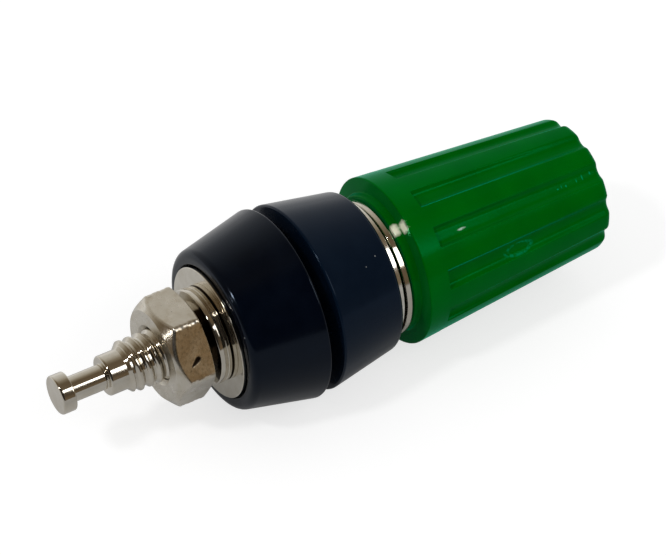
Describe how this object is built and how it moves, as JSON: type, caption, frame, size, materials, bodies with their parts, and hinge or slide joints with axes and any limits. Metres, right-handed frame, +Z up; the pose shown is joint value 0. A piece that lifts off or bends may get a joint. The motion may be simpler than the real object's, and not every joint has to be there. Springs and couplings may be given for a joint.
{
  "type": "banana socket",
  "caption": "Panel binding post for banana plugs and bare wire: fluted green screw knob, black insulating cones, nickel-plated stud with nut, washers and solder turret",
  "frame": {"origin": "on the post's axis, in the front face of the panel, which is the rear face of the front insulator's cone", "axes": "+Y along the axis to the solder turret behind the panel, -Y to the knob and the plug mouth, +Z up the panel"},
  "size_m": [0.0156, 0.0469, 0.0156],
  "materials": {
    "nickel_plate": "bright nickel plate on brass",
    "black_plastic": "semi-gloss moulded",
    "green_plastic": "glossy moulded, slightly translucent",
    "insert_brass": "plain turned"
  },
  "bodies": {
    "post": {"stud": "nickel_plate", "front_insulator": "black_plastic", "rear_insulator": "black_plastic", "flat_washer": "nickel_plate", "lock_washer": "nickel_plate", "hex_nut": "nickel_plate"},
    "clamp": {"clamp_washer": "nickel_plate"},
    "knob": {"knob": "green_plastic", "knob_insert": "insert_brass"}
  },
  "joints": [
    {"name": "knob_advance", "type": "slide", "parent": "post", "child": "clamp", "axis": [0, -1, 0], "range_m": [0, 0.00408]},
    {"name": "knob_turn", "type": "hinge", "parent": "clamp", "child": "knob", "pos_m": [0, -0.0157, 0], "axis": [0, -1, 0], "range_deg": [0, 1620]}
  ],
  "couplings": [
    {"joint": "knob_turn", "follows": "knob_advance", "rad_per_m": 6926.4}
  ]
}
